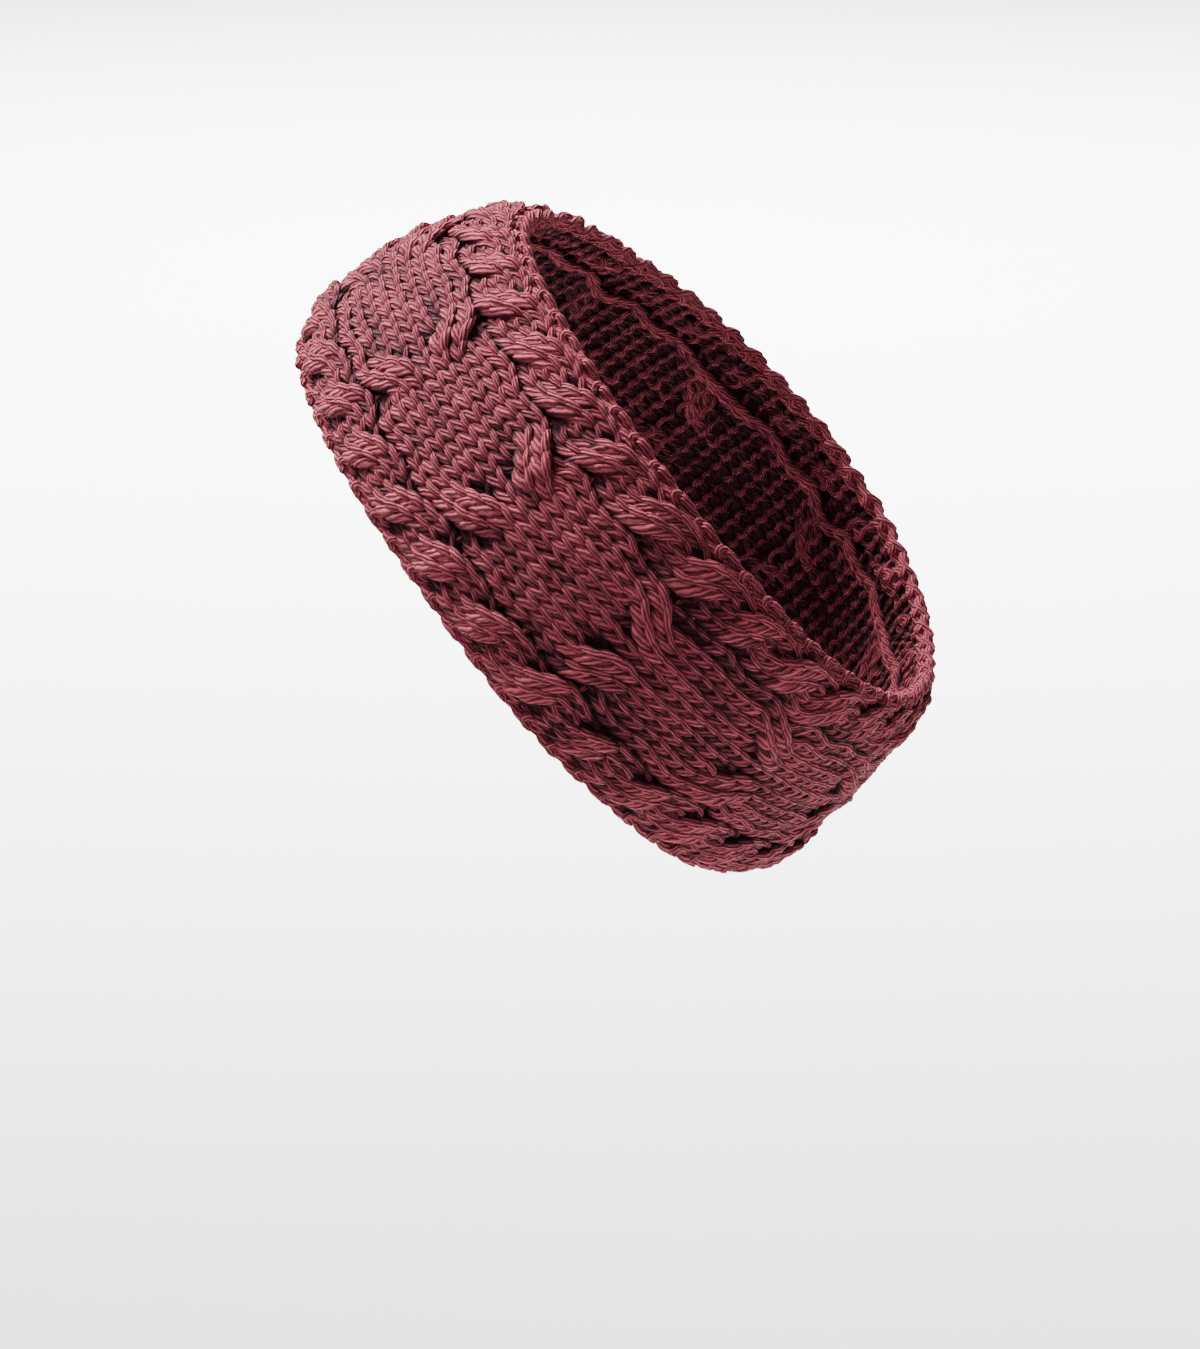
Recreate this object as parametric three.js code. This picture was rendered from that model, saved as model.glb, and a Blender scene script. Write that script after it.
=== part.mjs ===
// Ear warmer headband: one loop of thick cabled knit, in the form it has when worn.
// Millimetres and degrees. +Z is up, -Y is the wearer's front, +X is the wearer's left.
// The origin is the centre of the head opening.
import * as THREE from 'three';
import { ParametricGeometry } from 'three/addons/geometries/ParametricGeometry.js';

// The loop: the line round the middle of the wall, half way between the band's two edges
const LOOP_HALF_DEPTH = 92.5; // half of the loop from brow to nape
const LOOP_HALF_WIDTH = 76; // half of the loop from side to side
const NAPE_FULLNESS = 0.16; // share by which the loop is wider towards the nape than towards the brow
const TILT = 48; // how far the loop leans back from level: high at the brow, low at the nape

// The band
const BAND_WIDTH = 76; // edge to edge, along the middle of the wall
const WALL = 4.6; // plain knit at the edges
const PANEL_CREST = 2.6; // the horseshoe cable's strands over the middle of the wall
const ROPE_CREST = 4.4; // the rope cables' strands over the middle of the wall
const GUTTER_CREST = 0.9; // the purl gutters' floor over the middle of the wall
const ARM_LIFT = 1.3; // how far a horseshoe strand rises over its twin, or sinks under it, where they cross
const ROPE_NOTCH = 2.2; // depth of the notches between a rope's strands
const BACK_SWELL = 0.6; // how much further the inner face stands off behind the cables

// The knitting. Rows are counted round the loop from the nape over the wearer's left side to the brow and on
const ROW_HEIGHT = 4.4; // one row, measured along the loop's line
const ROW_DRIFT = 1.2; // rows by which the stretch of the fabric draws a row back half way from nape to ear
const CHART_ROWS = 20; // rows in one repeat of the whole pattern
const ROPE_CROSSINGS = 5; // crossings of each rope cable in one repeat
const ARM_CROSSINGS = 2; // crossings of the horseshoe cable in one repeat
const ARM_START = 6; // row of the horseshoe cable's first crossing
const ROPE_SLANT = 0.55; // share of a crossing by which a rope's strands run ahead from its middle to its side
const ARM_SHARE = 0.4; // share of a crossing's rows that the horseshoe's strands take to change sides

// How the band sits at three places on the loop, blended between them.
// width, bow and lift are shares of BAND_WIDTH; lean turns the upper edge in towards the head, in degrees;
// bow is the swell of the band's middle off the line between its edges; lift raises the band towards the crown.
const STATIONS = {
  brow: { width: 1.02, lean: 13, bow: 0.146, lift: 0 },
  side: { width: 1.0, lean: 7, bow: 0.11, lift: 0.06 },
  nape: { width: 0.945, lean: 7, bow: 0.066, lift: 0 },
};

// The cables across the band. middle and reach are shares of its width from its middle line, towards the upper
// edge, and start is the row of a rope's first crossing. An arm is half of the horseshoe, and over says which way
// its upper strand travels as the rows go by.
const ROPES = [
  { middle: 0.347, reach: 0.1, start: 2.5 },
  { middle: -0.347, reach: 0.1, start: 3.7 },
];
const ARMS = [
  { middle: 0.131, reach: 0.106, over: 1 },
  { middle: -0.131, reach: 0.106, over: -1 },
];
const ARM_STRAND_REACH = 0.066; // from an arm strand's middle to its side, a share of the width
const EDGE_STRAND = { middle: 0.468, reach: 0.034 };
const MIDDLE_STRAND = { middle: 0, reach: 0.03 };

// How finely the surface is faceted
const SLICES_PER_ROPE_CROSSING = 5;
const RIM_STACKS = 3;
const INNER_STACKS = 4;
// The outer face's strips from the middle line out: each reaches to a share of the width, in so many facets
const HALF_STRIPS = [
  { name: 'middle stitch', to: 0.025, facets: 1 },
  { name: 'horseshoe cable', to: 0.237, facets: 4 },
  { name: 'gutter', to: 0.254, facets: 1 },
  { name: 'rope cable', to: 0.44, facets: 6 },
  { name: 'garter edge', to: 0.5, facets: 2 },
];

// The places across the band where the outer face has its facets' edges, from the lower edge to the upper
function outerLines() {
  const upper = [0];
  let from = 0;
  for (const strip of HALF_STRIPS) {
    for (let facet = 1; facet <= strip.facets; facet += 1) {
      upper.push(from + ((strip.to - from) * facet) / strip.facets);
    }
    from = strip.to;
  }
  const lower = upper.slice(1).reverse();
  return [...lower.map((across) => -across), ...upper];
}

const OUTER_LINES = outerLines();
const OUTER_STACKS = OUTER_LINES.length - 1;
const STACKS = OUTER_STACKS + INNER_STACKS + 2 * RIM_STACKS;

const KNIT_ROSE = new THREE.MeshStandardMaterial({ color: 0xa85f6d, roughness: 0.92, metalness: 0 });

// The loop seen along its own axis: an egg with its full end at the nape, followed from the nape over the +X side
class LoopLine extends THREE.Curve {
  getPoint(share, target = new THREE.Vector3()) {
    const turn = 2 * Math.PI * share;
    const side = LOOP_HALF_WIDTH * Math.sin(turn) * (1 + NAPE_FULLNESS * Math.cos(turn));
    return target.set(side, LOOP_HALF_DEPTH * Math.cos(turn), 0);
  }

  // The level direction that points straight out of the loop
  getOutward(share) {
    const turn = 2 * Math.PI * share;
    const alongX = LOOP_HALF_WIDTH * (Math.cos(turn) + NAPE_FULLNESS * Math.cos(2 * turn));
    const alongY = -LOOP_HALF_DEPTH * Math.sin(turn);
    return new THREE.Vector3(-alongY, alongX, 0).normalize();
  }
}

const loopLine = new LoopLine();
loopLine.arcLengthDivisions = 720;

const CHARTS = Math.round(loopLine.getLength() / (CHART_ROWS * ROW_HEIGHT));
const ROWS = CHARTS * CHART_ROWS;
const SLICES = CHARTS * ROPE_CROSSINGS * SLICES_PER_ROPE_CROSSING;

// The values of STATIONS at one angle of the loop, 0 at the nape and a half turn at the brow
function stationAt(turn) {
  const brow = Math.max(-Math.cos(turn), 0) ** 2;
  const nape = Math.max(Math.cos(turn), 0) ** 2;
  const side = Math.sin(turn) ** 2;
  const blend = (name) =>
    STATIONS.brow[name] * brow + STATIONS.side[name] * side + STATIONS.nape[name] * nape;
  return {
    width: blend('width') * BAND_WIDTH,
    lean: THREE.MathUtils.degToRad(blend('lean')),
    bow: blend('bow') * BAND_WIDTH,
    lift: blend('lift') * BAND_WIDTH,
  };
}

// One strand of a horseshoe arm at a row: its side of the arm, -1 or 1 and between them in a crossing, and its lift
function armStrand(row, arm, twin) {
  const repeats = ((row - ARM_START) * ARM_CROSSINGS) / CHART_ROWS + 0.5 + twin;
  const crossing = Math.floor(repeats);
  const reached = (repeats - crossing - 0.5) / ARM_SHARE + 0.5;
  const swing = THREE.MathUtils.smoothstep(reached, 0, 1);
  const goesOver = THREE.MathUtils.euclideanModulo(crossing, 2) === 0;
  const lift = 4 * swing * (1 - swing) * ARM_LIFT;
  return goesOver
    ? { side: arm.over * (2 * swing - 1), lift }
    : { side: arm.over * (1 - 2 * swing), lift: -lift };
}

// Height of a round strand at a distance from its middle line, or nothing beyond its reach
function strandRound(distance, reach) {
  return Math.sqrt(Math.cos((Math.PI / 2) * Math.min(Math.abs(distance) / reach, 1)));
}

// Height of the outer face over the middle of the wall. across is a share of the width, 0 at the middle line
function outerHeight(row, across) {
  const raise = (crest, round) => GUTTER_CREST + (crest - GUTTER_CREST) * round;
  const edge = raise(WALL / 2, strandRound(Math.abs(across) - EDGE_STRAND.middle, EDGE_STRAND.reach));
  const middle = raise(PANEL_CREST, strandRound(across - MIDDLE_STRAND.middle, MIDDLE_STRAND.reach));
  const ropes = ROPES.map((rope) => {
    const place = across - rope.middle;
    const strands = ((row - rope.start) * ROPE_CROSSINGS) / CHART_ROWS + (ROPE_SLANT * place) / rope.reach;
    const notch = ROPE_NOTCH * (1 - Math.abs(Math.cos(Math.PI * strands)));
    return raise(ROPE_CREST - notch, strandRound(place, rope.reach));
  });
  const arms = ARMS.flatMap((arm) => [0, 1].map((twin) => {
    const strand = armStrand(row, arm, twin);
    const place = across - arm.middle - (strand.side * arm.reach) / 2;
    return raise(PANEL_CREST + strand.lift, strandRound(place, ARM_STRAND_REACH));
  }));
  return Math.max(edge, middle, ...ropes, ...arms);
}

// Depth of the inner face under the middle of the wall: plain, and fuller behind the cables
function innerDepth(across) {
  return WALL / 2 + BACK_SWELL * Math.cos(Math.PI * across) ** 2;
}

// One point of the band's closed section at a row: its place across the band and its height over the wall's middle
function sectionPoint(row, stack, width) {
  const rim = WALL / 2;
  const half = width / 2 - rim;
  if (stack <= OUTER_STACKS) {
    const across = OUTER_LINES[stack];
    const onEdge = stack === 0 || stack === OUTER_STACKS;
    return { across: 2 * half * across, height: onEdge ? rim : outerHeight(row, across) };
  }
  if (stack < OUTER_STACKS + RIM_STACKS) {
    const angle = (Math.PI * (stack - OUTER_STACKS)) / RIM_STACKS;
    return { across: half + rim * Math.sin(angle), height: rim * Math.cos(angle) };
  }
  const innerStack = stack - OUTER_STACKS - RIM_STACKS;
  if (innerStack <= INNER_STACKS) {
    const across = 0.5 - innerStack / INNER_STACKS;
    return { across: 2 * half * across, height: -innerDepth(across) };
  }
  const angle = Math.PI * (1 - (innerStack - INNER_STACKS) / RIM_STACKS);
  return { across: -half - rim * Math.sin(angle), height: rim * Math.cos(angle) };
}

// A point of the band's surface. u goes round the loop from the nape, and v goes round the section backwards,
// so that the faces point out
function bandPoint(u, v, target) {
  const along = u - (ROW_DRIFT / ROWS) * Math.sin(4 * Math.PI * u);
  const share = loopLine.getUtoTmapping(along);
  const turn = 2 * Math.PI * share;
  const station = stationAt(turn);
  const middle = loopLine.getPoint(share);
  const outward = loopLine.getOutward(share);
  const { across, height } = sectionPoint(u * ROWS, Math.round((1 - v) * STACKS), station.width);

  const fall = (2 * across) / station.width;
  const bowed = station.bow * (1 - fall * fall);
  const slope = (4 * station.bow * fall) / station.width;
  const steep = Math.hypot(1, slope);
  const out = bowed + height / steep;
  const up = across + (height * slope) / steep;

  const outwards = out * Math.cos(station.lean) - up * Math.sin(station.lean);
  const upwards = station.lift + up * Math.cos(station.lean) + out * Math.sin(station.lean);
  target.copy(middle).addScaledVector(outward, outwards);
  target.z += upwards;
}

const knitBand = new THREE.Mesh(new ParametricGeometry(bandPoint, SLICES, STACKS), KNIT_ROSE);
knitBand.name = 'knit_band';

const headband = new THREE.Group();
headband.rotation.x = THREE.MathUtils.degToRad(-TILT);
headband.add(knitBand);

export default headband;
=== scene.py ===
"""Ear warmer headband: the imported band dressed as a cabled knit, loop by loop, in plied rose yarn.

Metres. +Z is up, -Y is the wearer's front, +X is the wearer's left, and the origin is the centre
of the head opening. One yarn is followed row by row through every stitch of the band.
"""
import logging
import math
from dataclasses import dataclass, field
from enum import Enum

import bmesh
import bpy
import numpy as np
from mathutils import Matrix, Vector


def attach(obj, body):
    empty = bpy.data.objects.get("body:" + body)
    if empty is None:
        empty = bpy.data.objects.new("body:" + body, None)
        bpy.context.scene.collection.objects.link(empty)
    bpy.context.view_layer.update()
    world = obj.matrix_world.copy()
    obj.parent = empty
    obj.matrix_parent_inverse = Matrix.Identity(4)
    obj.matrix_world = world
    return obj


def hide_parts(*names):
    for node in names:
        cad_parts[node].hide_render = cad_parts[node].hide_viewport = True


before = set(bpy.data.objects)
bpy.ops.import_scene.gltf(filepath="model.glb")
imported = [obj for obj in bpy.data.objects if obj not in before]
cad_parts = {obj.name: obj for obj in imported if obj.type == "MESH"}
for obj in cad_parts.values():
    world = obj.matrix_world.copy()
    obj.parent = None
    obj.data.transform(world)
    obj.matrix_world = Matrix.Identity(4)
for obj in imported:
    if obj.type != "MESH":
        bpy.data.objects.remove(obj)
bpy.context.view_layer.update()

LOG = logging.getLogger("headband")
MM = 0.001
TURN = 2 * math.pi
BAND_NODE = "knit_band"
BODY = "root"
# Name of the vertex attribute that paints shade into the crevices between the stitches.
CREVICE_SHADE = "painted_crevice_shade"
CABLE_COLUMNS = 4


class Face(Enum):
    """How a column of stitches is worked, as the outer side shows it."""

    KNIT = "knit"
    PURL = "purl"
    GARTER = "garter"

    def sign(self, row: np.ndarray) -> np.ndarray:
        """Tells on which side a row's legs lie.

        Args:
            row: whole row numbers.

        Returns:
            1 where the legs lie outside and the bars inside, -1 the other way round.
        """
        if self is Face.KNIT:
            return np.ones_like(row)
        if self is Face.PURL:
            return -np.ones_like(row)
        return np.where(np.mod(row, 2) < 1, 1.0, -1.0)


@dataclass(frozen=True)
class Station:
    """How the band sits at one place of the loop, in shares of its width, and its lean in degrees."""

    width: float
    lean: float
    bow: float
    lift: float


@dataclass(frozen=True)
class BandForm:
    """The form of the worn band: an egg-shaped loop that leans back, and a wall bowed over its width."""

    half_depth: float = 0.0925
    half_width: float = 0.076
    nape_fullness: float = 0.16
    tilt: float = 48.0
    band_width: float = 0.076
    rows: int = 120
    row_drift: float = 1.2
    brow: Station = Station(width=1.02, lean=13, bow=0.146, lift=0)
    side: Station = Station(width=1.0, lean=7, bow=0.11, lift=0.06)
    nape: Station = Station(width=0.945, lean=7, bow=0.066, lift=0)
    arc_steps: int = 7200

    def _turns(self, rows: np.ndarray) -> np.ndarray:
        """Finds how far round the loop some rows lie.

        Args:
            rows: row numbers counted from the nape, broken numbers too.

        Returns:
            The angles in radians, 0 at the nape and half a turn at the brow.
        """
        turns = np.linspace(0, TURN, self.arc_steps + 1)
        along_x = self.half_width * np.sin(turns) * (1 + self.nape_fullness * np.cos(turns))
        along_y = self.half_depth * np.cos(turns)
        length = np.concatenate([[0], np.cumsum(np.hypot(np.diff(along_x), np.diff(along_y)))])
        share = rows / self.rows
        share = share - self.row_drift / self.rows * np.sin(2 * TURN * share)
        return np.interp(np.mod(share, 1) * length[-1], length, turns)

    def _blend(self, name: str, cos: np.ndarray, sin: np.ndarray) -> np.ndarray:
        """Blends one value of the three stations.

        Args:
            name: which value.
            cos: cosine of the angle round the loop.
            sin: sine of the angle round the loop.

        Returns:
            The value at each angle.
        """
        brow = np.clip(-cos, 0, None) ** 2
        nape = np.clip(cos, 0, None) ** 2
        return (getattr(self.brow, name) * brow + getattr(self.side, name) * sin ** 2
                + getattr(self.nape, name) * nape)

    def place(self, rows: np.ndarray, across: np.ndarray, height: np.ndarray) -> np.ndarray:
        """Finds places on, over or under the band's wall.

        Args:
            rows: row numbers counted round the loop from the nape.
            across: shares of the width from its middle line, towards the upper edge.
            height: metres over the middle of the wall, outwards.

        Returns:
            An array of points in metres, one row for each.
        """
        turns = self._turns(rows)
        cos, sin = np.cos(turns), np.sin(turns)
        width = self._blend("width", cos, sin) * self.band_width
        bow = self._blend("bow", cos, sin) * self.band_width
        lift = self._blend("lift", cos, sin) * self.band_width
        lean = np.radians(self._blend("lean", cos, sin))
        along_x = self.half_width * (cos + self.nape_fullness * np.cos(2 * turns))
        along_y = -self.half_depth * sin
        length = np.hypot(along_x, along_y)
        out_x, out_y = -along_y / length, along_x / length

        fall = 2 * across
        slope = 4 * bow * fall / width
        steep = np.hypot(1, slope)
        out = bow * (1 - fall ** 2) + height / steep
        up = across * width + height * slope / steep
        outwards = out * np.cos(lean) - up * np.sin(lean)
        level_x = self.half_width * sin * (1 + self.nape_fullness * cos) + out_x * outwards
        level_y = self.half_depth * cos + out_y * outwards
        level_z = lift + up * np.cos(lean) + out * np.sin(lean)
        tilt = math.radians(-self.tilt)
        return np.stack([
            level_x,
            level_y * math.cos(tilt) - level_z * math.sin(tilt),
            level_y * math.sin(tilt) + level_z * math.cos(tilt),
        ], axis=-1)


@dataclass(frozen=True)
class Cable:
    """Four columns whose two pairs change sides, one over the other.

    first is its first column, and over is 1 where the pair on top travels towards the upper edge,
    or -1. every is the number of rows from one crossing to the next, start the row of one of them,
    and span the rows that it takes. lift and sink are how far the two pairs leave the fabric.
    """

    first: int
    over: int
    every: int
    start: float
    span: float
    lift: float
    sink: float

    def pair(self, rows: np.ndarray, twin: int) -> tuple[np.ndarray, np.ndarray]:
        """Follows one pair of columns through the crossings.

        Args:
            rows: row numbers.
            twin: 0 or 1, which of the two pairs.

        Returns:
            The pair's side from -1 to 1, and its lift from -1, wholly under, to 1, wholly over.
        """
        repeats = (rows - self.start) / self.every + 0.5
        crossing = np.floor(repeats)
        reached = np.clip((repeats - crossing - 0.5) * self.every / self.span + 0.5, 0, 1)
        swing = reached * reached * (3 - 2 * reached)
        goes_over = np.mod(crossing + twin, 2) < 1
        side = np.where(goes_over, self.over * (2 * swing - 1), self.over * (1 - 2 * swing))
        rise = 4 * swing * (1 - swing)
        return side, np.where(goes_over, rise, -rise)


@dataclass(frozen=True)
class Strip:
    """Neighbouring columns of one kind.

    pitch is the width of a loop, and spacing the width that it has between its neighbours. level is
    the height of its middle over the middle of the wall. thickness is that of the yarn at the loop's
    ends, as a share of the legs'.
    """

    name: str
    columns: int
    pitch: float
    spacing: float
    face: Face
    level: float = 0.0
    thickness: float = 0.68


@dataclass
class Chart:
    """The knitting pattern: 21 columns of stitches across the band, and the cables among them.

    spread is the share by which a crossing widens its columns. pull is how far it draws in the
    stitches beside it, and pull_reach how many columns away that fades.
    """

    strips: tuple[Strip, ...] = (
        Strip("lower edge", 1, 4.4 * MM, 3.3 * MM, Face.GARTER, -0.2 * MM, 0.9),
        Strip("lower rope", 4, 3.7 * MM, 3.5 * MM, Face.KNIT, 0.5 * MM),
        Strip("lower gutter", 1, 3.8 * MM, 1.6 * MM, Face.PURL, -0.9 * MM),
        Strip("lower arm", 4, 3.95 * MM, 3.95 * MM, Face.KNIT),
        Strip("middle", 1, 4.6 * MM, 4.6 * MM, Face.KNIT),
        Strip("upper arm", 4, 3.95 * MM, 3.95 * MM, Face.KNIT),
        Strip("upper gutter", 1, 3.8 * MM, 1.6 * MM, Face.PURL, -0.9 * MM),
        Strip("upper rope", 4, 3.7 * MM, 3.5 * MM, Face.KNIT, 0.5 * MM),
        Strip("upper edge", 1, 4.4 * MM, 3.3 * MM, Face.GARTER, -0.2 * MM, 0.9),
    )
    cables: tuple[Cable, ...] = (
        Cable(first=1, over=-1, every=4, start=3.7, span=3.8, lift=1.8 * MM, sink=0.8 * MM),
        Cable(first=6, over=-1, every=10, start=6.5, span=4.4, lift=1.8 * MM, sink=0.8 * MM),
        Cable(first=11, over=1, every=10, start=6.5, span=4.4, lift=1.8 * MM, sink=0.8 * MM),
        Cable(first=16, over=-1, every=4, start=2.5, span=3.8, lift=1.8 * MM, sink=0.8 * MM),
    )
    spread: float = 0.35
    pull: float = 2.2 * MM
    pull_reach: float = 2.2
    pitch: np.ndarray = field(init=False)
    rest: np.ndarray = field(init=False)
    spacing: np.ndarray = field(init=False)
    level: np.ndarray = field(init=False)
    thickness: np.ndarray = field(init=False)
    faces: list[Face] = field(init=False)

    def __post_init__(self) -> None:
        """Spreads the strips out into columns, centred on the band's middle line."""
        columns = [strip for strip in self.strips for _ in range(strip.columns)]
        self.pitch = np.array([strip.pitch for strip in columns])
        self.spacing = np.array([strip.spacing for strip in columns])
        edges = np.concatenate([[0], np.cumsum(self.spacing)])
        self.rest = (edges[1:] + edges[:-1]) / 2 - edges[-1] / 2
        self.level = np.array([strip.level for strip in columns])
        self.thickness = np.array([strip.thickness for strip in columns])
        self.faces = [strip.face for strip in columns]

    def cable_of(self, column: int) -> Cable | None:
        """Returns the cable that a column belongs to, if any."""
        return next((cable for cable in self.cables
                     if 0 <= column - cable.first < CABLE_COLUMNS), None)

    def follow(self, column: int, rows: np.ndarray) -> tuple[np.ndarray, np.ndarray, np.ndarray]:
        """Follows the middle of one column of stitches along the rows.

        Args:
            column: its number from the lower edge, before the first crossing.
            rows: row numbers.

        Returns:
            Its place across the band and its height over the wall's middle, in metres, and how
            far it is over or under its neighbours, from -1 to 1.
        """
        own = self.cable_of(column)
        place = np.full_like(rows, self.rest[column])
        height = np.full_like(rows, self.level[column])
        rise = np.zeros_like(rows)
        if own is not None:
            twin, half = divmod(column - own.first, 2)
            side, rise = own.pair(rows, twin)
            pitch = self.spacing[column]
            spread = 1 + self.spread * np.abs(rise)
            middle = (CABLE_COLUMNS - 1) / 2
            place = self.rest[own.first] + (middle + side + (half - 0.5) * spread) * pitch
            height = height + np.where(rise > 0, rise * own.lift, rise * own.sink)
        if self.faces[column] is not Face.GARTER:
            for cable in self.cables:
                if cable is not own:
                    place = place + self._drawn_in(cable, place, rows)
        return place, height, rise

    def _drawn_in(self, cable: Cable, place: np.ndarray, rows: np.ndarray) -> np.ndarray:
        """Finds how far a crossing draws the stitches beside it towards itself.

        Args:
            cable: the cable that crosses.
            place: places across the band outside the cable.
            rows: their row numbers.

        Returns:
            The shifts across the band.
        """
        pitch = self.spacing[cable.first]
        away = place - self.rest[cable.first] - (CABLE_COLUMNS - 1) / 2 * pitch
        _, rise = cable.pair(rows, 0)
        beyond = np.clip(np.abs(away) / pitch - CABLE_COLUMNS / 2, 0, None) / self.pull_reach
        return -np.sign(away) * self.pull * np.abs(rise) * np.exp(-beyond ** 2)

    def order(self, row: int) -> list[int]:
        """Returns the columns in the order in which one row's yarn reaches them, from the lower edge."""
        columns = list(range(len(self.pitch)))
        for cable in self.cables:
            side, _ = cable.pair(np.array([float(row)]), 0)
            if side[0] > 0:
                first = cable.first
                crossed = [first + 2, first + 3, first, first + 1]
                columns[first:first + CABLE_COLUMNS] = crossed
        return columns


@dataclass(frozen=True)
class Stitch:
    """The shape of one loop of yarn: up one leg, round the head, down the other leg and on to the next.

    head is how far the loop reaches to each side of its row's middle, in rows. waist draws the legs
    together above the feet and apart below the head, skew leans the feet towards the upper edge, and
    depth is how far the legs stand out and the ends stand in. ride lifts one leg and lowers the
    other, plump makes the first leg thicker than the second, and crossing_plump thickens the legs of
    the pair on top. join_power keeps the blend between two loops close to where they meet.
    crossing_flat is the share by which a crossing presses its loops flat. head_play and radius_play
    are the shares of the yarn's unevenness that the head and the radius take. The edge columns have
    a head, a waist and a skew of their own.
    """

    head: float = 1.1
    waist: float = 1.75
    edge_waist: float = 0.7
    depth: float = 1.35 * MM
    edge_head: float = 0.8
    skew: float = 0.28
    edge_skew: float = 0.0
    ride: float = 0.5 * MM
    steps: int = 20
    leg_radius: float = 1.38 * MM
    plump: float = 0.19
    crossing_plump: float = 0.22
    join_power: int = 6
    crossing_flat: float = 0.25
    head_play: float = 0.4
    radius_play: float = 0.5


@dataclass
class Yarn:
    """The one yarn of the band, followed through every stitch of every row.

    unevenness is the spread of the draws for a loop's head, waist, depth and radius. sway is how far
    a stitch stands in or out by its looseness, a sum of three draws with a spread of about
    loose_spread. The turns at the edges have turn_steps steps, bulge by turn_reach and are thicker by
    the share turn_plump. edge_tuck draws the outermost feet in, and edge_play is how far the yarn
    passes the band's width on each side. ground_share is how far the fabric rises with a lifted pair.
    """

    form: BandForm
    chart: Chart
    stitch: Stitch = Stitch()
    seed: int = 7
    unevenness: float = 0.08
    sway: float = 0.3 * MM
    turn_steps: int = 6
    turn_reach: float = 0.2 * MM
    turn_plump: float = 0.05
    edge_play: float = 0.3 * MM
    edge_tuck: float = 1.0 * MM
    loose_spread: float = 1.7
    ground_share: float = 0.6
    scale: float = field(init=False)
    row_steps: list[np.ndarray] = field(init=False)
    rng: np.random.Generator = field(init=False)
    loose: np.ndarray = field(init=False)

    def __post_init__(self) -> None:
        """Starts the draws for the hand-knitted unevenness, and draws how loose each stitch stands."""
        self.rng = np.random.default_rng(self.seed)
        loose = self.rng.normal(0, 1, (self.form.rows, len(self.chart.pitch)))
        self.loose = loose + np.roll(loose, 1, axis=0) + np.roll(loose, -1, axis=0)

    def _loop(self, row: int, column: int) -> np.ndarray:
        """Lays one loop by itself, towards the upper edge.

        Args:
            row: the loop's row.
            column: the loop's column.

        Returns:
            For each step its row, its place across, its height, its radius and the fabric's height there.
        """
        shape = self.stitch
        face = self.chart.faces[column]
        t = np.linspace(-math.pi, math.pi, shape.steps + 1)
        jitter = self.rng.normal(0, self.unevenness, 4)
        here = float(face.sign(np.array([row]))[0])
        above = float(face.sign(np.array([row + 1]))[0])
        head = shape.edge_head if face is Face.GARTER else shape.head
        rows = row + head * np.cos(t) * (1 + shape.head_play * jitter[0])
        centre, level, rise = self.chart.follow(column, rows)
        pitch = self.chart.pitch[column]
        spread = 1 + self.chart.spread * np.abs(rise)
        waist = (shape.edge_waist if face is Face.GARTER else shape.waist) * (1 + jitter[1])
        skew = shape.edge_skew if face is Face.GARTER else shape.skew
        sweep = (t + waist * np.sin(2 * t)) / TURN + skew * (1 - np.cos(t)) / 2
        across = centre + spread * pitch * sweep
        depth = shape.depth * (1 - shape.crossing_flat * np.abs(rise)) * (1 + jitter[2])
        leg = depth * (here + above) / 2
        end = np.where(np.cos(t) > 0, -above, -here) * depth
        height = level + leg + (end - leg) * np.cos(t) ** 2 + here * shape.ride * np.sin(t) ** 3
        height = height + self.sway * self.loose[row, column] / self.loose_spread
        swell = np.sin(t) ** 2
        ends = self.chart.thickness[column]
        radius = shape.leg_radius * (ends + (1 - ends) * swell) * (1 + shape.radius_play * jitter[3])
        radius = radius * (1 - shape.plump * np.sin(t) * swell)
        radius = radius * (1 + shape.crossing_plump * np.clip(rise, 0, None) * swell)
        rest_level = self.chart.level[column]
        ground = rest_level + self.ground_share * np.clip(level - rest_level, 0, None)
        return np.stack([rows, across, height, radius, ground], axis=-1)

    def _row(self, row: int) -> np.ndarray:
        """Lays one row, with each loop joined to the next.

        Args:
            row: its number.

        Returns:
            The steps of the whole row, from the lower edge to the upper.
        """
        loops = [self._loop(row, column) for column in self.chart.order(row)]
        weight = np.abs(np.linspace(-1, 1, self.stitch.steps + 1)) ** self.stitch.join_power
        before = weight * (np.arange(self.stitch.steps + 1) < self.stitch.steps / 2)
        after = weight * (np.arange(self.stitch.steps + 1) > self.stitch.steps / 2)
        ends = [(loop[0].copy(), loop[-1].copy()) for loop in loops]
        for left in range(len(loops) - 1):
            joint = (ends[left][1] + ends[left + 1][0]) / 2
            loops[left] += after[:, None] * (joint - ends[left][1])
            loops[left + 1] += before[:, None] * (joint - ends[left + 1][0])
        loops[0][:, 1] += self.edge_tuck * before
        loops[-1][:, 1] -= self.edge_tuck * after
        return np.concatenate([loops[0]] + [loop[1:] for loop in loops[1:]])

    def _turn(self, start: np.ndarray, end: np.ndarray, outwards: int) -> np.ndarray:
        """Lays the turn at the band's edge from one row to the next.

        Args:
            start: the last step of the row.
            end: the first step of the next row.
            outwards: 1 at the upper edge, -1 at the lower.

        Returns:
            The steps between the two.
        """
        share = np.linspace(0, 1, self.turn_steps + 1)[1:-1]
        steps = start + (end - start) * share[:, None]
        steps[:, 1] += outwards * self.turn_reach * np.sin(math.pi * share)
        steps[:, 3] *= 1 + self.turn_plump * np.sin(math.pi * share)
        return steps

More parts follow.
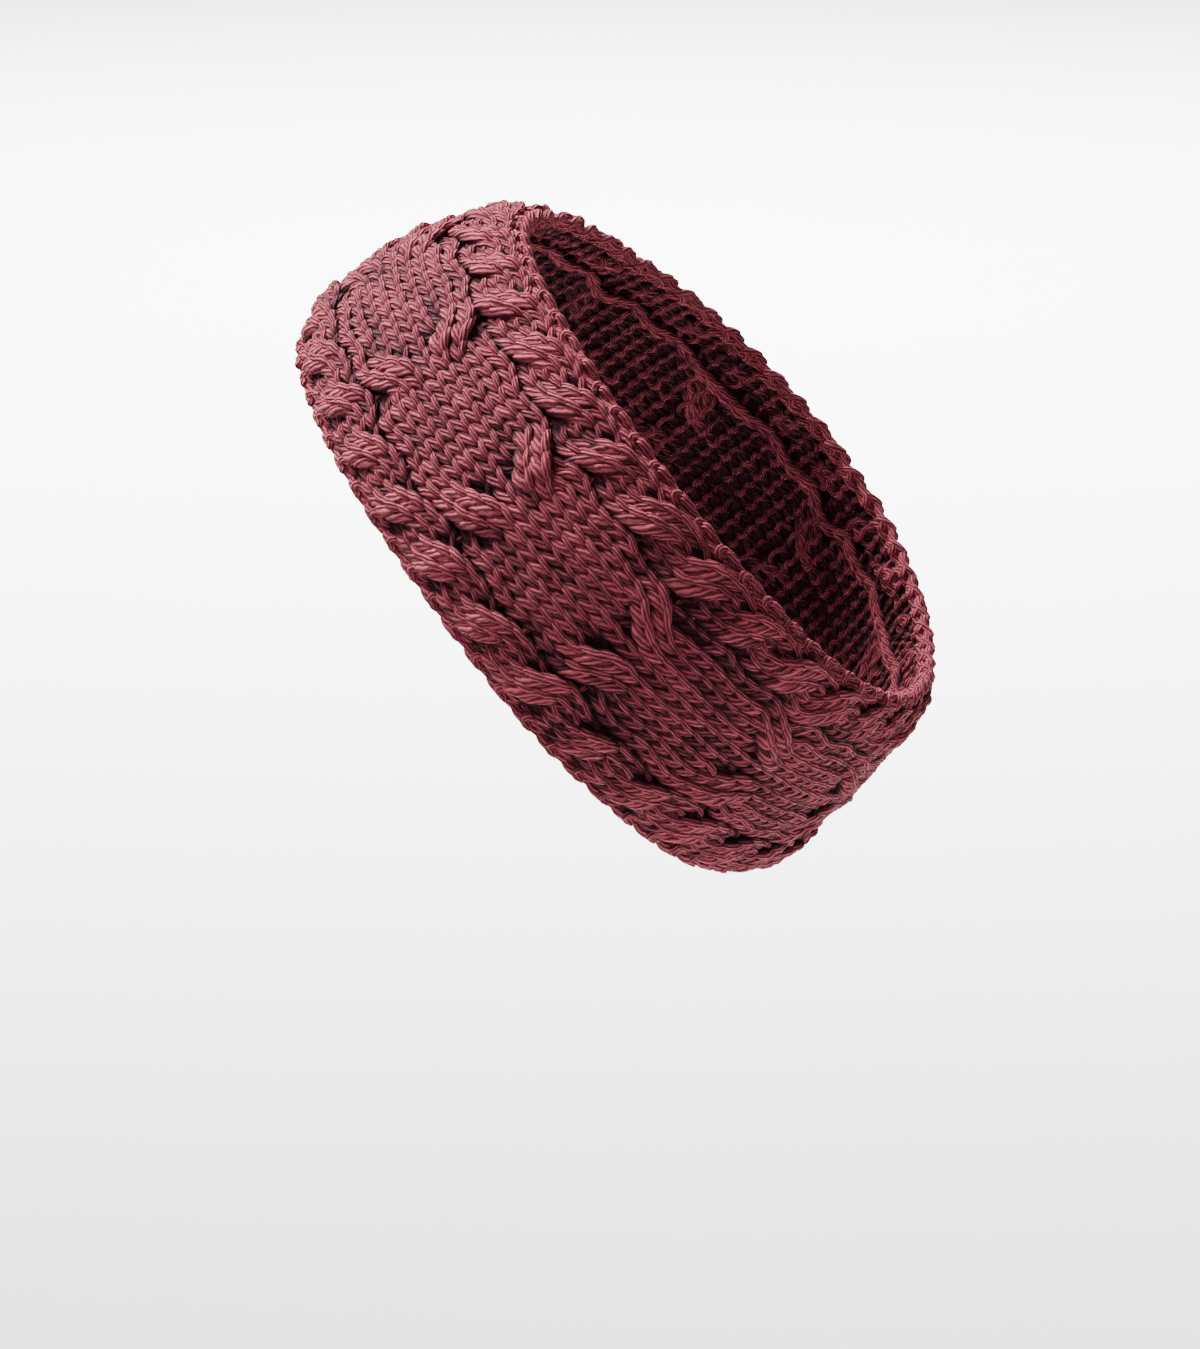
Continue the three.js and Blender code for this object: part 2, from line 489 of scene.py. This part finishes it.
    def steps(self, first: int, last: int) -> np.ndarray:
        """Follows the yarn through some rows, to and fro as it is knitted.

        Args:
            first: the first row.
            last: the row after the last.

        Returns:
            The steps in order, up to the first step of the row after the last.
        """
        rows = []
        for row in range(first, last + 1):
            rounds, own = divmod(row, self.form.rows)
            rows.append(self.row_steps[own] + [self.form.rows * rounds, 0, 0, 0, 0])
        path = []
        for number, row in enumerate(rows[:-1]):
            outwards = 1 if (first + number) % 2 == 0 else -1
            path.append(row)
            path.append(self._turn(row[-1], rows[number + 1][0], outwards))
        path.append(rows[-1][:1])
        return np.concatenate(path)

    def knit(self) -> None:
        """Lays every row of the band, odd ones back from the upper edge to the lower."""
        rows = [self._row(row) for row in range(self.form.rows)]
        self.row_steps = [row if number % 2 == 0 else row[::-1] for number, row in enumerate(rows)]
        widest = max(np.abs(row[:, 1]).max() for row in rows)
        reach = widest + self.turn_reach + self.stitch.leg_radius
        self.scale = 1 / (2 * (reach - self.edge_play))
        LOG.info("yarn laid: %d steps, %.1f mm to each side", sum(len(row) for row in rows), reach / MM)

    def places(self, steps: np.ndarray) -> np.ndarray:
        """Returns the places of some steps on the band, in metres."""
        return self.form.place(steps[:, 0], steps[:, 1] * self.scale, steps[:, 2])


@dataclass(frozen=True)
class YarnFinish:
    """Plied wool yarn: fine plies wound round each other, soft and slightly hairy.

    lead is the length of yarn in which a ply goes once round it. fibre_bend and wander_bend are how
    far the noises push the plies aside. ply_step and ply_stretch place the noise that tells one ply
    from the next, and tone_base and tone_gain are its effect. groove is the share of the tone
    that the ridges have, which paints shade into the grooves between the plies, and fibre_tone what
    the fibres add. crevice_shade_from and crevice_shade_to are where the stitches go from painted
    shade in their crevices to full tone, and ramp_from and ramp_to where the dark and the light lie;
    the dark end is painted shade as well as the yarn's own darker tone.
    """

    name: str = "plied_rose_yarn"
    light: tuple[float, float, float] = (0.47, 0.074, 0.108)
    # Dark end of the colour ramp: painted shade in the ply grooves and in the crevices between the
    # stitches, and the yarn's own darker tone.
    shade_and_dark_tone: tuple[float, float, float] = (0.040, 0.0045, 0.010)
    sheen_tint: tuple[float, float, float] = (0.95, 0.62, 0.66)
    plies: int = 7
    lead: float = 0.027
    fibre_scale: float = 2600.0
    wander_scale: float = 320.0
    ply_stretch: float = 160.0
    patch_scale: float = 90.0
    # Share of the colour taken by the ply ridges, which paints shade into the grooves between the plies.
    groove: float = 0.78
    bump: float = 0.0007
    roughness: float = 0.72
    specular: float = 0.18
    sheen: float = 0.02
    sheen_roughness: float = 0.45
    fibre_bend: float = 0.3
    wander_bend: float = 0.9
    ridge_power: float = 1.4
    ply_step: float = 7.3
    tone_gain: float = 1.5
    tone_base: float = 0.3
    crevice_shade_from: float = 0.35
    crevice_shade_to: float = 1.0
    fibre_tone: float = 0.15
    ramp_from: float = 0.1
    ramp_to: float = 0.9

    def build(self) -> bpy.types.Material:
        """Builds the material.

        Returns:
            The material, whose plies follow the yarn by its UV map.
        """
        material = bpy.data.materials.new(self.name)
        material.use_nodes = True
        nodes, links = material.node_tree.nodes, material.node_tree.links
        shader = nodes["Principled BSDF"]
        shader.inputs["Roughness"].default_value = self.roughness
        shader.inputs["Specular IOR Level"].default_value = self.specular
        shader.inputs["Sheen Weight"].default_value = self.sheen
        shader.inputs["Sheen Roughness"].default_value = self.sheen_roughness
        shader.inputs["Sheen Tint"].default_value = (*self.sheen_tint, 1)

        def math_node(operation: str, first: bpy.types.NodeSocket | float,
                      second: bpy.types.NodeSocket | float | None = None) -> bpy.types.NodeSocket:
            """Adds a Math node and returns its output; first and second are sockets or numbers."""
            node = nodes.new("ShaderNodeMath")
            node.operation = operation
            for socket, value in zip(node.inputs, (first, second)):
                if isinstance(value, bpy.types.NodeSocket):
                    links.new(value, socket)
                elif value is not None:
                    socket.default_value = value
            return node.outputs[0]

        def noise(scale: float, detail: float) -> bpy.types.NodeSocket:
            """Adds noise on Object coordinates and returns its value."""
            node = nodes.new("ShaderNodeTexNoise")
            node.inputs["Scale"].default_value = scale
            node.inputs["Detail"].default_value = detail
            links.new(coordinates.outputs["Object"], node.inputs["Vector"])
            return node.outputs["Fac"]

        coordinates = nodes.new("ShaderNodeTexCoord")
        split = nodes.new("ShaderNodeSeparateXYZ")
        links.new(coordinates.outputs["UV"], split.inputs[0])
        fibres = noise(self.fibre_scale, 3)
        wander = noise(self.wander_scale, 1)
        patches = noise(self.patch_scale, 2)
        winding = math_node("ADD", math_node("MULTIPLY", split.outputs["X"], self.plies),
                            math_node("MULTIPLY", split.outputs["Y"], self.plies / self.lead))
        winding = math_node("ADD", winding, math_node("MULTIPLY", fibres, self.fibre_bend))
        winding = math_node("ADD", winding, math_node("MULTIPLY", wander, self.wander_bend))
        ridge = math_node("ABSOLUTE", math_node("SINE", math_node("MULTIPLY", winding, math.pi)))
        ridge = math_node("POWER", ridge, self.ridge_power)
        ply = nodes.new("ShaderNodeCombineXYZ")
        number = math_node("FLOOR", winding)
        links.new(math_node("MULTIPLY", number, self.ply_step), ply.inputs["X"])
        links.new(math_node("MULTIPLY", split.outputs["Y"], self.ply_stretch), ply.inputs["Y"])
        tone = nodes.new("ShaderNodeTexNoise")
        tone.inputs["Scale"].default_value = 1.0
        tone.inputs["Detail"].default_value = 1.0
        links.new(ply.outputs["Vector"], tone.inputs["Vector"])
        # Painted shade: this attribute darkens the colour where the yarn lies deep in the crevices
        # between the stitches.
        painted_crevice_shade = nodes.new("ShaderNodeAttribute")
        painted_crevice_shade.attribute_name = CREVICE_SHADE
        crevice_shade_factor = nodes.new("ShaderNodeMapRange")
        crevice_shade_factor.interpolation_type = "SMOOTHSTEP"
        links.new(painted_crevice_shade.outputs["Fac"], crevice_shade_factor.inputs["Value"])
        crevice_shade_factor.inputs["From Min"].default_value = self.crevice_shade_from
        crevice_shade_factor.inputs["From Max"].default_value = self.crevice_shade_to

        # Painted shade: the ridges darken the colour in the grooves between the plies, and the crevice
        # factor darkens it where the stitches lie deep; the patches, the ply tone and the fibres are the
        # yarn's own tone.
        depth = math_node("ADD", math_node("MULTIPLY", ridge, self.groove),
                          math_node("MULTIPLY", patches, 1 - self.groove))
        depth = math_node("MULTIPLY", depth, crevice_shade_factor.outputs["Result"])
        own_tone = math_node("MULTIPLY", tone.outputs["Fac"], self.tone_gain)
        depth = math_node("MULTIPLY", depth, math_node("ADD", own_tone, self.tone_base))
        depth = math_node("ADD", depth, math_node("MULTIPLY", fibres, self.fibre_tone))
        ramp = nodes.new("ShaderNodeValToRGB")
        ramp.color_ramp.elements[0].position = self.ramp_from
        ramp.color_ramp.elements[0].color = (*self.shade_and_dark_tone, 1)
        ramp.color_ramp.elements[1].position = self.ramp_to
        ramp.color_ramp.elements[1].color = (*self.light, 1)
        links.new(depth, ramp.inputs["Fac"])
        links.new(ramp.outputs["Color"], shader.inputs["Base Color"])

        bump = nodes.new("ShaderNodeBump")
        bump.inputs["Strength"].default_value = 1.0
        bump.inputs["Distance"].default_value = self.bump
        links.new(math_node("ADD", ridge, math_node("MULTIPLY", fibres, 0.5)), bump.inputs["Height"])
        links.new(bump.outputs["Normal"], shader.inputs["Normal"])
        return material


@dataclass(frozen=True)
class PlainFinish:
    """A finish of one colour with a fine, soft unevenness: grain is its share of the colour."""

    name: str
    colour: tuple[float, float, float]
    roughness: float
    grain_scale: float
    grain: float
    specular: float = 0.2

    def build(self) -> bpy.types.Material:
        """Builds the material.

        Returns:
            The material.
        """
        material = bpy.data.materials.new(self.name)
        material.use_nodes = True
        nodes, links = material.node_tree.nodes, material.node_tree.links
        shader = nodes["Principled BSDF"]
        shader.inputs["Roughness"].default_value = self.roughness
        shader.inputs["Specular IOR Level"].default_value = self.specular
        coordinates = nodes.new("ShaderNodeTexCoord")
        noise = nodes.new("ShaderNodeTexNoise")
        noise.inputs["Scale"].default_value = self.grain_scale
        links.new(coordinates.outputs["Object"], noise.inputs["Vector"])
        ramp = nodes.new("ShaderNodeValToRGB")
        for element, factor in zip(ramp.color_ramp.elements, (1 - self.grain, 1 + self.grain)):
            element.color = (*(min(channel * factor, 1) for channel in self.colour), 1)
        links.new(noise.outputs["Fac"], ramp.inputs["Fac"])
        links.new(ramp.outputs["Color"], shader.inputs["Base Color"])
        return material


def add_object(name: str, mesh: bpy.types.Mesh, material: bpy.types.Material) -> bpy.types.Object:
    """Shows a mesh as an object at the origin.

    Args:
        name: the object's name.
        mesh: its mesh.
        material: its only material.

    Returns:
        The object.
    """
    mesh.materials.clear()
    mesh.materials.append(material)
    piece = bpy.data.objects.new(name, mesh)
    bpy.context.scene.collection.objects.link(piece)
    return piece


@dataclass
class KnitBand:
    """The headband: its yarn in several lengths, and a dark sheet of painted shade between the stitches.

    flat_size is the band laid flat and unworn; nothing in this script uses it. bare_edge is the width
    of the edges that the light reaches from the side, which are kept out of the painted shade. The
    fields of the shade sheet, a dark sheet of painted shade in the gaps between the stitches, are:
    facets to a row and across, the thickness, how wide the stitches' heights are evened out, and half
    the width as a share.
    """

    form: BandForm = BandForm()
    chart: Chart = field(default_factory=Chart)
    lengths: int = 6
    ring_sides: int = 8
    flat_size: tuple[float, float] = (0.078, 0.52)
    bare_edge: float = 7.0 * MM
    shade_sheet_rows: int = 2
    shade_sheet_columns: int = 40
    shade_sheet_thickness: float = 0.6 * MM
    shade_sheet_spread: float = 2.4 * MM
    shade_sheet_margin: float = 0.46
    merge_within: float = 0.01 * MM
    yarn_finish: YarnFinish = YarnFinish()
    # Colour of the painted shade sheet: the dark of the shade in the gaps between the stitches.
    shade_sheet_finish: PlainFinish = PlainFinish("painted_shade_sheet", (0.045, 0.006, 0.012), 0.95, 900.0, 0.3)
    yarn: Yarn = field(init=False)

    def build(self) -> list[bpy.types.Object]:
        """Makes every piece of the band.

        Returns:
            The pieces.
        """
        self.yarn = Yarn(self.form, self.chart)
        self.yarn.knit()
        material = self.yarn_finish.build()
        share = self.form.rows // self.lengths
        strands = [self._strand(number, number * share, (number + 1) * share, material)
                   for number in range(self.lengths)]
        shade_sheet = self._shade_sheet()
        for piece in [*strands, shade_sheet]:
            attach(piece, BODY)
            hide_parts(BAND_NODE)
        return [*strands, shade_sheet]

    def _strand(self, number: int, first: int, last: int,
                material: bpy.types.Material) -> bpy.types.Object:
        """Makes the yarn of some rows as a round tube with a UV map.

        Args:
            number: which length of the yarn.
            first: its first row.
            last: the row after its last.
            material: the yarn's finish.

        Returns:
            The piece.
        """
        steps = self.yarn.steps(first, last)
        places = self.yarn.places(steps)
        curve = bpy.data.curves.new(f"yarn_line_{number + 1}", "CURVE")
        curve.dimensions = "3D"
        curve.twist_mode = "MINIMUM"
        curve.bevel_depth = 1.0
        curve.bevel_resolution = (self.ring_sides - 4) // 2
        curve.use_fill_caps = True
        spline = curve.splines.new("POLY")
        spline.points.add(len(places) - 1)
        spline.points.foreach_set("co", np.column_stack([places, np.ones(len(places))]).ravel())
        spline.points.foreach_set("radius", steps[:, 3])
        line = bpy.data.objects.new(curve.name, curve)
        bpy.context.scene.collection.objects.link(line)
        graph = bpy.context.evaluated_depsgraph_get()
        mesh = bpy.data.meshes.new_from_object(line.evaluated_get(graph))
        bpy.data.objects.remove(line)
        bpy.data.curves.remove(curve)
        mesh.name = f"yarn_{number + 1}"
        self._wind(mesh, places)
        self._paint_crevice_shade(mesh, steps, places)
        mesh.polygons.foreach_set("use_smooth", np.ones(len(mesh.polygons), bool))
        piece = add_object(mesh.name, mesh, material)
        LOG.info("%s: %d faces", piece.name, len(mesh.polygons))
        return piece

    def _wind(self, mesh: bpy.types.Mesh, places: np.ndarray) -> None:
        """Sets the UV map of a tube: U once round it, V along it in metres.

        Args:
            mesh: the tube, whose rings of vertices follow each other.
            places: the middle of each ring.
        """
        length = np.concatenate([[0], np.cumsum(np.linalg.norm(np.diff(places, axis=0), axis=1))])
        vertices = np.empty(len(mesh.loops), dtype=np.int32)
        mesh.loops.foreach_get("vertex_index", vertices)
        starts = np.empty(len(mesh.polygons), dtype=np.int32)
        mesh.polygons.foreach_get("loop_start", starts)
        sizes = np.diff(np.append(starts, len(vertices)))
        ring, side = np.divmod(vertices, self.ring_sides)
        face = np.repeat(np.arange(len(starts)), sizes)
        highest = np.zeros(len(starts), dtype=np.int32)
        np.maximum.at(highest, face, side)
        wraps = (highest[face] == self.ring_sides - 1) & (side == 0) & (sizes[face] == 4)
        around = (side + self.ring_sides * wraps) / self.ring_sides
        along = length[np.minimum(ring, len(length) - 1)]
        mesh.uv_layers[0].data.foreach_set("uv", np.column_stack([around, along]).ravel())

    def _paint_crevice_shade(self, mesh: bpy.types.Mesh, steps: np.ndarray, places: np.ndarray) -> None:
        """Marks how far each vertex of a tube stands off the middle of the fabric, for the painted shade
        that darkens the yarn in the crevices between the stitches.

        Args:
            mesh: the tube, whose rings of vertices follow each other.
            steps: the yarn's steps.
            places: their places, the middle of each ring.
        """
        raised = steps + np.array([0, 0, MM, 0, 0])
        outwards = self.yarn.places(raised) - places
        outwards /= np.linalg.norm(outwards, axis=1, keepdims=True)
        corners = np.empty(len(mesh.vertices) * 3)
        mesh.vertices.foreach_get("co", corners)
        ring = np.minimum(np.arange(len(mesh.vertices)) // self.ring_sides, len(places) - 1)
        stand = np.einsum("ij,ij->i", corners.reshape(-1, 3) - places[ring], outwards[ring])
        stitch = self.yarn.stitch
        over = np.abs(stand + steps[ring, 2] - steps[ring, 4])
        # The painted shade fades out within bare_edge of the band's edges, which the light reaches from
        # the side.
        beyond = np.clip(np.abs(steps[ring, 1]) - 0.5 / self.yarn.scale + self.bare_edge, 0, None)
        painted_crevice_shade = np.hypot(over, beyond) / (stitch.depth + stitch.leg_radius)
        mesh.attributes.new(CREVICE_SHADE, "FLOAT", "POINT").data.foreach_set("value", np.clip(painted_crevice_shade, 0, 1))

    def _shade_sheet(self) -> bpy.types.Object:
        """Makes one thin dark sheet inside the wall that paints the shade in the gaps between the
        stitches and blocks the view through them.

        Returns:
            The piece.
        """
        rows = self.form.rows * self.shade_sheet_rows
        sheet = bmesh.new()
        bmesh.ops.create_grid(sheet, x_segments=rows, y_segments=self.shade_sheet_columns, size=0.5)
        flat = np.array([vertex.co for vertex in sheet.verts])
        row = (flat[:, 0] + 0.5) * self.form.rows
        across = flat[:, 1] * 2 * self.shade_sheet_margin
        height = self._shade_sheet_height(row, across / self.yarn.scale)
        for vertex, place in zip(sheet.verts, self.form.place(row, across, height)):
            vertex.co = place
        bmesh.ops.remove_doubles(sheet, verts=sheet.verts, dist=self.merge_within)
        bmesh.ops.recalc_face_normals(sheet, faces=sheet.faces)
        mesh = bpy.data.meshes.new("painted_shade_sheet")
        sheet.to_mesh(mesh)
        sheet.free()
        piece = add_object("painted_shade_sheet", mesh, self.shade_sheet_finish.build())
        wall = piece.modifiers.new("wall", "SOLIDIFY")
        wall.thickness = self.shade_sheet_thickness
        wall.offset = 0
        return piece

    def _shade_sheet_height(self, row: np.ndarray, across: np.ndarray) -> np.ndarray:
        """Finds the mean height of the stitches round some places.

        Args:
            row: row numbers.
            across: metres from the middle line, at the scale of the chart.

        Returns:
            The heights in metres over the wall's middle.
        """
        total = np.zeros_like(row)
        weights = np.full_like(row, 1e-9)
        for column in range(len(self.chart.pitch)):
            centre, level, _ = self.chart.follow(column, row)
            weight = np.exp(-((across - centre) / self.shade_sheet_spread) ** 2)
            total += weight * level
            weights += weight
        return total / weights


@dataclass(frozen=True)
class SoftLight:
    """A large, even studio light. spread is the width of its cone in degrees, aim where it points."""

    name: str
    place: tuple[float, float, float]
    size: float
    power: float
    spread: float = 180.0
    aim: tuple[float, float, float] = (0.0, 0.0, 0.0)

    def build(self) -> None:
        """Adds the light, turned towards its aim."""
        data = bpy.data.lights.new(self.name, "AREA")
        data.shape = "DISK"
        data.size = self.size
        data.energy = self.power
        data.spread = math.radians(self.spread)
        lamp = bpy.data.objects.new(self.name, data)
        lamp.location = self.place
        lamp.rotation_euler = (Vector(self.aim) - Vector(self.place)).to_track_quat("-Z", "Y").to_euler()
        bpy.context.scene.collection.objects.link(lamp)


@dataclass(frozen=True)
class Studio:
    """The pale floor, the soft lights and the camera."""

    floor_height: float = -0.9
    floor_size: float = 120.0
    target: tuple[float, float, float] = (0.0, -0.0092, -0.0448)
    yaw: float = 14.4
    pitch: float = 14.4
    distance: float = 1.45
    lens: float = 150.0
    sensor: float = 36.0
    floor_finish: PlainFinish = PlainFinish("pale_floor", (0.86, 0.86, 0.85), 0.9, 3.0, 0.01)
    room_colour: tuple[float, float, float] = (0.95, 0.97, 1.0)
    room_strength: float = 0.07
    lights: tuple[SoftLight, ...] = (
        SoftLight("key", (-0.2, -1.25, 1.9), 1.6, 39, spread=60),
        SoftLight("fill", (2.0, 1.6, 0.9), 1.6, 0.2, spread=60),
        SoftLight("backdrop", (-5.5, -1.4, 3.2), 6.0, 1500, spread=110, aim=(-5.5, -1.4, -0.9)),
        SoftLight("near floor", (4.5, 1.0, 3.2), 5.0, 30, spread=110, aim=(4.5, 1.0, -0.9)),
        SoftLight("far floor", (13.0, 2.0, 7.0), 12.0, 900, spread=130, aim=(13.0, 2.0, -0.9)),
        SoftLight("front floor", (1.0, -13.0, 7.0), 12.0, 1200, spread=130, aim=(1.0, -13.0, -0.9)),
        SoftLight("nape floor", (1.0, 13.0, 7.0), 12.0, 700, spread=130, aim=(1.0, 13.0, -0.9)),
    )

    def build(self) -> None:
        """Sets the studio up."""
        floor = bmesh.new()
        bmesh.ops.create_grid(floor, x_segments=4, y_segments=4, size=self.floor_size / 2)
        bmesh.ops.translate(floor, verts=floor.verts, vec=(0, 0, self.floor_height))
        mesh = bpy.data.meshes.new("studio_floor")
        floor.to_mesh(mesh)
        floor.free()
        add_object("studio_floor", mesh, self.floor_finish.build())
        for light in self.lights:
            light.build()
        world = bpy.data.worlds.new("studio")
        world.use_nodes = True
        background = world.node_tree.nodes["Background"]
        background.inputs["Color"].default_value = (*self.room_colour, 1)
        background.inputs["Strength"].default_value = self.room_strength
        bpy.context.scene.world = world
        self._camera()

    def _camera(self) -> None:
        """Adds the camera at the photograph's angle."""
        yaw, pitch = math.radians(self.yaw), math.radians(self.pitch)
        back = Vector((math.cos(yaw) * math.cos(pitch), math.sin(yaw) * math.cos(pitch), math.sin(pitch)))
        data = bpy.data.cameras.new("photo_camera")
        data.sensor_fit = "HORIZONTAL"
        data.sensor_width = self.sensor
        data.lens = self.lens
        data.dof.use_dof = False
        camera = bpy.data.objects.new("photo_camera", data)
        camera.location = Vector(self.target) + back * self.distance
        camera.rotation_euler = back.to_track_quat("Z", "Y").to_euler()
        bpy.context.scene.collection.objects.link(camera)
        bpy.context.scene.camera = camera


def main() -> None:
    """Builds the studio and the band."""
    logging.basicConfig(level=logging.INFO, format="%(name)s: %(message)s")
    Studio().build()
    for piece in KnitBand().build():
        LOG.info("%s rides on %s", piece.name, BODY)


if __name__ == "__main__":
    main()
